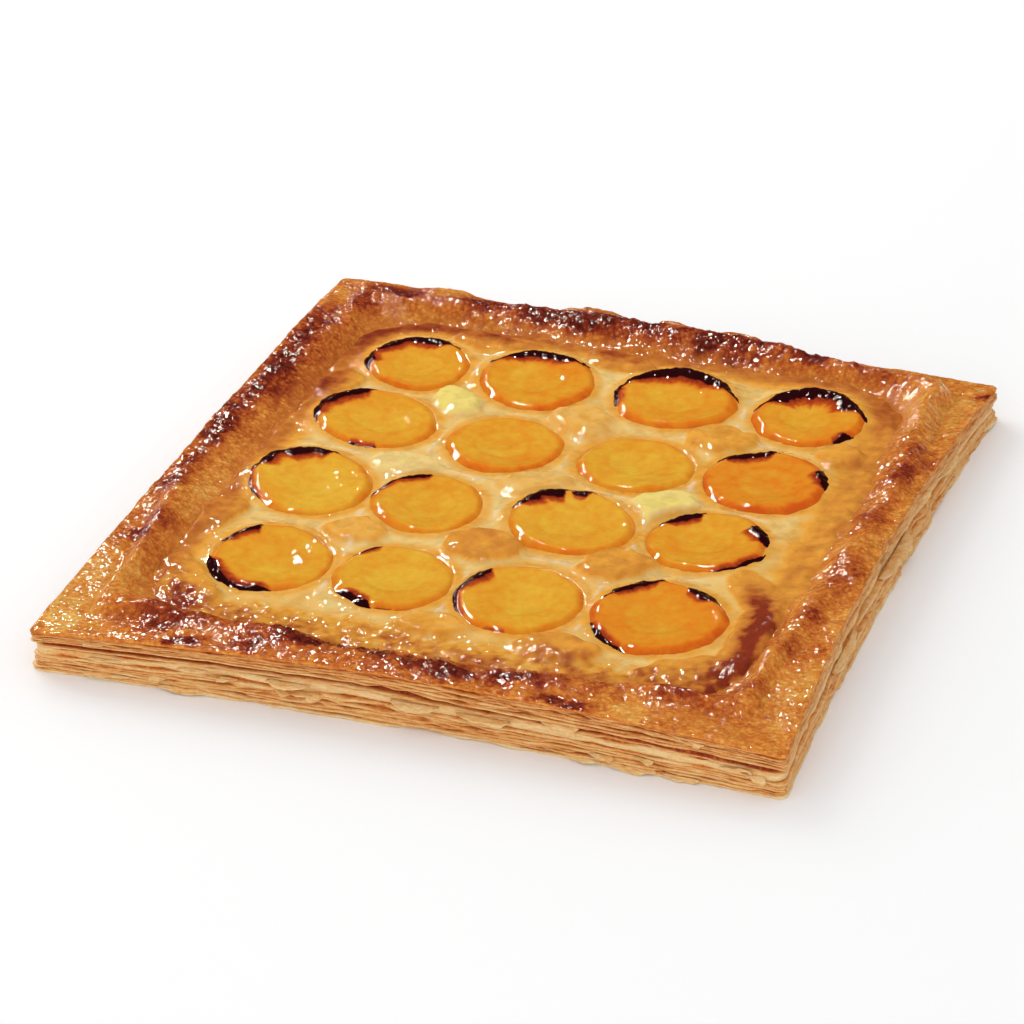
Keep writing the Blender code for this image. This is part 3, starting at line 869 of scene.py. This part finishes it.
def burntArcs(arcs, bearing, fromRim, ring):
    # widest in their middles and at the back, dark at the rim and fading inwards
    char = np.zeros_like(bearing)
    for start, end, width, dark in arcs:
        reach = 0.5 * (end - start) + 8
        off = np.abs((bearing - 0.5 * (start + end) + 180) % 360 - 180) / reach
        taper = np.sqrt(np.clip(1 - off**4, 0, 1)) * np.clip(1.1 - off, 0, 0.4) / 0.4
        wide = width * (0.8 + 0.4 * lumps(ring, 1.6, 3, 2))
        wide += 3.2 * np.clip(np.sin(np.radians(bearing)), 0, 1)
        wide = wide * taper - 0.25
        core = between(wide + 0.35, wide - 0.35, fromRim) * between(-1.5, -0.6, fromRim) * (off < 1)
        fade = between(wide + 0.8 + 1.5 * width * taper, wide, fromRim) * between(-2.6, -1, fromRim) * taper
        char = np.maximum(char, np.maximum(core, 0.5 * fade) * dark)
    return char


def makeHalf(number, spec, material):
    x, y, halfWidth, halfLength, turn, faceHeight, leanX, leanY, tip, ripeness, arcs = spec
    segments, rings = half["segments"], half["rings"]
    piece = startPiece(bpy.ops.mesh.primitive_uv_sphere_add, segments=segments, ring_count=rings, radius=1)
    places = pointsOf(piece)
    angle = np.arctan2(places[:, 1], places[:, 0])
    row = np.round(np.arccos(np.clip(places[:, 2], -1, 1)) / math.pi * rings) / rings
    along = np.interp(row, *zip(*half["rowPlaces"]))
    share, drop = throughPoints(half["section"], along).T
    c, s = np.cos(angle), np.sin(angle)
    # the solid's outline, then finer unevenness
    uneven = half["wave"] * solidWave(c, s, 1.1, 5 + number) + 0.026 * solidWave(c, s, 0.42, 9 + number)
    uneven = 1 + share * (uneven + 0.018 * np.cos(3 * angle + 1.7 * number))
    pointed = 1 + tip * np.exp(-((((angle + np.pi) % math.tau) - np.pi) / 0.45) ** 2)
    px = halfWidth * share * uneven * pointed * c
    py = halfLength * share * uneven * pointed * s
    lift = 0.35 * solidWave(c, s, 0.9, 20 + number) * share
    local = np.stack((px, py, -half["depth"] * drop + lift), -1)
    # soft folds of the flesh, and the stone's hollow with its edge
    seed = np.array((0, 0, 40 * number))
    folds = 0.34 * lumps(local + seed, 7, 1, 2) + 0.05 * lumps(local + seed, 2.4, 2, 2)
    folds *= np.where(along < half["faceEnd"], 0.6, 1)
    hollowAt = 0.47 + 0.05 * np.cos(angle + 2.1 * number) + 0.05 * solidWave(c, s, 0.7, 30 + number)
    inHollow = along < half["hollowEnd"]
    hollowEdge = np.exp(-(((share - hollowAt) / 0.05) ** 2)) * inHollow * (0.5 + 0.5 * np.sin(angle + number))
    hollowIn = between(hollowAt, hollowAt - 0.09, share) * inHollow
    local[:, 2] += folds * between(8, 7, along) + 0.12 * hollowEdge - 0.14 * hollowIn
    # the cut edge curls up into a soft lip, higher in some places than in others
    lipHeight = 0.34 + 0.22 * solidWave(c, s, 0.8, 60 + number)
    local[:, 2] += lipHeight * np.exp(-(((share - 0.83) / 0.06) ** 2)) * (along < half["lipEnd"])
    spot = Matrix.Translation((x, y, faceHeight))
    lean = Euler((math.radians(leanX), math.radians(leanY), 0)).to_matrix().to_4x4()
    matrix = np.array(spot @ lean @ Matrix.Rotation(math.radians(turn), 4, "Z"))
    world = local @ matrix[:3, :3].T + matrix[:3, 3]
    bearing = np.degrees(np.arctan2(world[:, 1] - y, world[:, 0] - x)) % 360
    radius = 0.5 * (halfWidth + halfLength)
    fromRim = np.where(along < half["rim"], (0.97 - share) * radius, (half["rim"] - along) * 3.2)
    turned = np.radians(bearing)
    ring = np.stack((6 * np.cos(turned), 6 * np.sin(turned), np.full_like(c, 9 * number)), -1)
    char = burntArcs(arcs, bearing, fromRim, ring)
    # what is burnt stands up a little and is crumbly
    crumbly = (0.45 + 0.35 * lumps(world, 1.6, 4, 2)) * (along < 5.2)
    world[:, 2] += between(0.55, 0.95, char) * crumbly
    ripe = ripeness + 0.12 * lumps(local + seed, 9, 6, 2) - 0.1 * hollowIn
    ripe += 0.4 * between(4.4, 0.5, fromRim + 0.8 * lumps(ring, 1.4, 8))
    ripe += 0.08 * hollowEdge
    name, node = f"apricot{number:02d}", f"apricot_half_{number:02d}"
    finishPiece(piece, name, world, node, material, {"char": char, "ripe": ripe})


filling = {
    "step": 0.8,
    "hidden": 9,  # how far it runs up the pastry's slope
    "underside": 4,
    "underFruit": 5.2,
    # tints (0 pale, 1 brown) in the open, at the rim (browning and painted shade) and at the fruit
    "tint": 0.3,
    "rimBrownAndShade": 0.63,
    "fruitTint": 0.58,
    # where it puffs up: x, y, half length, half width, turn, height, tint
    "mounds": (
        (-49, -38, 9, 6, 20, 2.4, 0.5), (-7, -36.5, 9.5, 6.5, 0, 3.6, 0.65),
        (38.5, -34.5, 9, 6, 10, 3.4, 0.63), (-51, 9, 9.5, 5.5, 10, 2, 0.18),
        (-4.5, 8.5, 9, 6, 20, 2.4, 0.4), (39.5, 8, 8, 6.5, 40, 2.4, 0.05),
        (-50, 55, 8, 5.5, -50, 2.6, 0.02), (-4, 54.5, 9, 6.5, -40, 2.8, 0.45),
        (44, 56.5, 8.5, 6.5, 0, 3, 0.58), (-94, 54, 9, 5, 75, 2.4, 0.6),
        (-95.5, -41, 9, 4.5, 80, 2.6, 0.61), (-88, -82.5, 12, 5, -45, 2.2, 0.56),
        (-51, 98.5, 14, 4.5, -5, 3.2, 0.64), (-5.5, 98, 11, 4.5, -10, 3.2, 0.65),
        (85.5, 56, 7, 5, 70, 2.8, 0.58), (84.5, -37, 10, 5, -60, 0.8, 0.6),
        (91, -63, 17, 5, 90, 1.8, 0.62), (79, -86, 11, 5, 32, 1, 0.6),
        (-5, -86, 9, 4.5, 0, 2.4, 0.53), (38, -87, 10, 5, 0, 2.8, 0.63),
    ),
    # browned patches of its skin: x, y, half length, half width, turn, strength
    "spots": (
        (93, -66, 18, 3.6, 90, 0.38), (88.5, -45, 11, 3.2, 115, 0.34), (93.5, -86, 9, 3.6, 75, 0.22),
        (88, -84, 9, 4, 30, 0.12), (-52, 100, 14, 3.5, -5, 0.16), (-6, 99, 12, 3.5, -10, 0.16),
        (-96, 54, 7, 4, 75, 0.16),
    ),
}


def rimGap(x, y):
    # distance from the recess's foot, positive inside it, and the nearest column of the outline
    best = np.full(x.shape, 1e9)
    signed = np.zeros(x.shape)
    nearest = np.zeros(x.shape, dtype=int)
    step = 5
    line = innerLine[::step]
    normal = outward(innerLine)[::step]
    for index, ((lineX, lineY), (outX, outY)) in enumerate(zip(line, normal)):
        dx, dy = x - lineX, y - lineY
        far = dx * dx + dy * dy
        closer = far < best
        best = np.where(closer, far, best)
        signed = np.where(closer, -(dx * outX + dy * outY), signed)
        nearest = np.where(closer, step * index, nearest)
    return signed, nearest


def fruitGap(x, y):
    # distance outside the outlines of the nearest half and of the next one, and their faces' height
    nearest = np.full(x.shape, 1e9)
    second = np.full(x.shape, 1e9)
    levels = np.zeros(x.shape)
    weights = np.zeros(x.shape)
    for halfX, halfY, halfWidth, halfLength, turn, faceHeight, leanX, leanY, *_ in fruit:
        along, across = inOval(x, y, halfX, halfY, halfWidth, halfLength, turn)
        gap = (np.hypot(along, across) - 1) * 0.5 * (halfWidth + halfLength)
        slopeX, slopeY = math.sin(math.radians(leanY)), math.sin(math.radians(leanX))
        level = faceHeight + (y - halfY) * slopeY - (x - halfX) * slopeX
        weight = np.exp(-np.clip(gap, 0, 80) / 2) + 1e-12
        levels += weight * level
        weights += weight
        second = np.minimum(second, np.maximum(gap, nearest))
        nearest = np.minimum(nearest, gap)
    return nearest, second, levels / weights


def fillingSheet():
    # a fine flat sheet cut to the recess; its border is drawn down and closed
    reachX, reachY = np.abs(innerLine).max(axis=0) + 6
    piece = addGrid(int(2 * reachX / filling["step"]), int(2 * reachY / filling["step"]))
    places = pointsOf(piece) * (reachX, reachY, 1)
    setPoints(piece, places)
    outside = rimGap(places[:, 0], places[:, 1])[0] < -(tart["creamFoot"] + filling["hidden"])
    bpy.ops.object.mode_set(mode="EDIT")
    bpy.ops.mesh.select_mode(type="VERT")
    bpy.ops.mesh.select_all(action="DESELECT")
    shape = bmesh.from_edit_mesh(piece.data)
    shape.verts.ensure_lookup_table()
    for index in np.flatnonzero(outside):
        shape.verts[index].select = True
    shape.select_flush(True)
    bmesh.update_edit_mesh(piece.data)
    bpy.ops.mesh.delete(type="VERT")
    bpy.ops.mesh.select_all(action="SELECT")
    bpy.ops.mesh.region_to_loop()
    bpy.ops.mesh.extrude_region_move(TRANSFORM_OT_translate={"value": (0, 0, -5)})
    bpy.ops.mesh.edge_face_add()
    bpy.ops.object.mode_set(mode="OBJECT")
    return piece


def puffedMounds(flat, byFruit, tint):
    # the mounds sink towards the fruit and carry their own tints
    x, y = flat[..., 0], flat[..., 1]
    clear = between(0, 2.6, byFruit + 0.5 * lumps(flat, 3, 8))
    rise = np.zeros_like(x)
    for moundX, moundY, length, width, turn, top, moundTint in filling["mounds"]:
        along, across = inOval(x, y, moundX, moundY, 1.3 * length, 1.4 * width, turn)
        far = along * along + across * across
        mound = between(1.5, 0.6, far + 0.25 * lumps(flat, 5, 10)) * clear
        rise = np.maximum(rise, top * mound)
        tint = tint + (moundTint - tint) * between(0.22, 0.55, mound)
    return rise, tint


def makeFilling(material):
    piece = fillingSheet()
    places = pointsOf(piece)
    x, y, low = places[:, 0], places[:, 1], places[:, 2] < -1
    flat = flatPoints(x, y)
    byFoot, nearest = rimGap(x, y)
    byRim = byFoot + tart["creamFoot"]
    byFruit, byNext, face = fruitGap(x, y)
    toLeft, toRight, toBack = between(70, 90, -x), between(70, 90, x), between(70, 90, y)
    edge = tart["fillingEdge"]
    tint = filling["tint"] + 0.1 * lumps(flat, 22, 1, 2)
    rise, tint = puffedMounds(flat, byFruit, tint)
    # the cream clings to the fruit and the pastry, and wrinkles between them
    cling = np.clip(face - 1.7 - edge, 0, None) * np.exp(-np.clip(byFruit, 0, None) / 4.5)
    rise = (rise**3 + cling**3) ** (1 / 3) + 0.7 * np.exp(-np.clip(byRim, 0, None) / 2.5)
    wrinkle = 0.22 * lumps(flat, 5, 2, 2) + 0.06 * lumps(flat, 1.8, 3, 2)
    # a crumbly pale seam runs where the cream meets between two halves
    wander = byNext - byFruit + 1.2 * lumps(flat, 4, 4, 2)
    broken = between(-0.25, 0.25, lumps(flat, 7, 9))
    ridge = np.exp(-((wander / 1.1) ** 2)) * between(7, 4.5, byFruit) * broken
    crumbs = ridge * blisters(x, y, 1.8, 35)
    rise += tart["fillingProud"] + 0.3 * solidWave(x, y, 30, 1) + wrinkle + 0.25 * ridge + 0.45 * crumbs
    # grainy along the front, and where its skin is browned
    grainy = between(13, 7, byRim + 3 * lumps(flat, 6, 13, 2)) * between(-72, -84, y)
    rise += grainy * (0.55 * blisters(x, y, 2.4, 30) + 0.45 * blisters(x, y, 3.7, 20) - 0.2)
    spots = spotField(flat, filling["spots"], 1.5, 5)
    rise += np.clip(2.5 * spots, 0, 1) * (0.45 * blisters(x, y, 2.3, 45) + 0.3 * blisters(x, y, 3.6, 40))
    # it runs on up the pastry's slope and thins out there, sooner at the left and the back
    place = -byFoot / rimScale[nearest]
    gain = innerSlope(place)
    bumps = rimBumps(x, y, gain) * between(0, 4, place)
    thin = between(4.5, 10, place + 1.8 * lumps(flat, 6, 11, 2) + 3 * np.maximum(toLeft, toBack))
    height = edge + (crestHeight(around[nearest]) - edge) * gain + bumps + rise * (1 - thin) - 1.2 * thin
    under = between(-1.5, -5, byFruit)
    height = height * (1 - under) + filling["underFruit"] * under
    # it browns towards the rim and darkens most at the left and the back: browning, with painted shade where
    # the rims there shade it
    rimBrownAndShade = filling["rimBrownAndShade"] + 0.17 * between(50, 80, -x) + 0.2 * toBack + 0.06 * toRight
    tint += (rimBrownAndShade - tint) * 0.95 * between(15, 2, byRim)
    tint += (filling["fruitTint"] - tint) * 0.75 * between(3, 0.2, byFruit)
    tint += grainy * (0.06 + 0.16 * lumps(flat, 2.4, 16, 2) + 0.12 * lumps(flat, 9, 17))
    tint += spots * (1 + 0.45 * lumps(flat, 2.2, 15, 2))
    places[:, 2] = np.where(low, filling["underside"], height)
    values = {"tint": tint, "streak": np.clip(0.7 * ridge + 0.6 * crumbs, 0, 1), "grainy": grainy}
    finishPiece(piece, "creamFilling", places, "filling", material, values)
    print("filling", len(piece.data.polygons))


studio = {
    "azimuth": 21.05,
    "elevation": 29.18,
    "roll": -1.52,
    "lens": 140,
    "distance": 1.3235,
    "aim": (-0.0143, 0.0114, 0),
    "floorSize": 6,
    "floorDrop": 0.00005,
    "floorColour": (0.96, 0.96, 0.96, 1),
    "skyStrength": 0.8,
    # direction, distance, width and height, power: soft ones for form, then small bright ones for the
    # glaze's crisp highlights, the last of them seen from behind
    "softboxes": {
        "keySoftbox": ((-0.72, 0.5, 0.6), 1.2, (0.8, 0.8), 5),
        "frontSoftbox": ((0.15, -0.95, 0.35), 1.5, (0.9, 0.9), 5),
    },
    "glazeLights": {
        "glazeStrip": ((-0.68, 0.42, 0.62), 2.4, (1.46, 0.09), 60),
        "glazeTop": ((-0.32, 0.12, 0.93), 2.4, (0.2, 0.2), 24),
        "glazeFar": ((0.55, -0.62, 0.62), 2.4, (1, 0.06), 12),
    },
    "glazeColour": (1, 0.92, 0.78),
}


def makeFloor():
    place = (0, 0, -studio["floorDrop"])
    floor = startPiece(bpy.ops.mesh.primitive_plane_add, size=studio["floorSize"], location=place)
    floor.name = "floor"
    finish = {"Roughness": 0.9, "Base Color": studio["floorColour"], "Specular IOR Level": 0.1}
    floor.data.materials.append(startMaterial("paleFloor", finish)[0])


def addLight(name, direction, distance, size, power, form):
    # form: whether it lights the tart softly, or only shows as a highlight
    light = bpy.data.lights.new(name, "AREA")
    light.shape = "RECTANGLE"
    light.size, light.size_y = size
    light.energy = power
    light.color = (1, 1, 1) if form else studio["glazeColour"]
    lamp = bpy.data.objects.new(name, light)
    lamp.visible_diffuse = form
    lamp.visible_glossy = not form
    bpy.context.collection.objects.link(lamp)
    towards = Vector(direction).normalized()
    lamp.location = towards * distance
    lamp.rotation_euler = towards.to_track_quat("Z", "Y").to_euler()


def makeStudio():
    world = bpy.data.worlds.new("studio")
    bpy.context.scene.world = world
    world.use_nodes = True
    sky = world.node_tree.nodes["Background"]
    setInputs(sky, {"Color": (1, 1, 1, 1), "Strength": studio["skyStrength"]})
    world.cycles_visibility.glossy = False  # soft light from all round, without a pale veil on the glaze
    for kind, form in (("softboxes", True), ("glazeLights", False)):
        for name, settings in studio[kind].items():
            addLight(name, *settings, form)
    bpy.context.scene.view_settings.view_transform = "Standard"


def makeCamera():
    azimuth, elevation, roll = (math.radians(studio[key]) for key in ("azimuth", "elevation", "roll"))
    matrix = Matrix.Translation(studio["aim"])
    for angle, axis in ((azimuth, "Z"), (math.pi / 2 - elevation, "X"), (roll, "Z")):
        matrix = matrix @ Matrix.Rotation(angle, 4, axis)
    data = bpy.data.cameras.new("camera")
    data.lens = studio["lens"]
    data.sensor_width = 36
    data.clip_end = 10
    camera = bpy.data.objects.new("camera", data)
    bpy.context.collection.objects.link(camera)
    camera.matrix_world = matrix @ Matrix.Translation((0, 0, studio["distance"]))
    bpy.context.scene.camera = camera


makeCamera()
makeStudio()
makeFloor()
makeCrust(crustMaterial())
edge = edgeHeight(around)
slit = slitShare()
leafFinish = leafMaterial()
upperFoot = edge * (slit + leaves["slitHalf"])
lowerTop = edge * (slit - leaves["slitHalf"])
makeLeaves("upperLeaves", upperFoot, edge - leaves["belowLip"], 1, leafFinish)
makeLeaves("lowerLeaves", 0 * edge, lowerTop, leaves["firstLower"], leafFinish)
makeFlakes(leafFinish)
makeFilling(creamMaterial())
apricotFinish = apricotMaterial()
for number, spec in enumerate(fruit, start=1):
    makeHalf(number, spec, apricotFinish)
print("apricots", len(fruit))
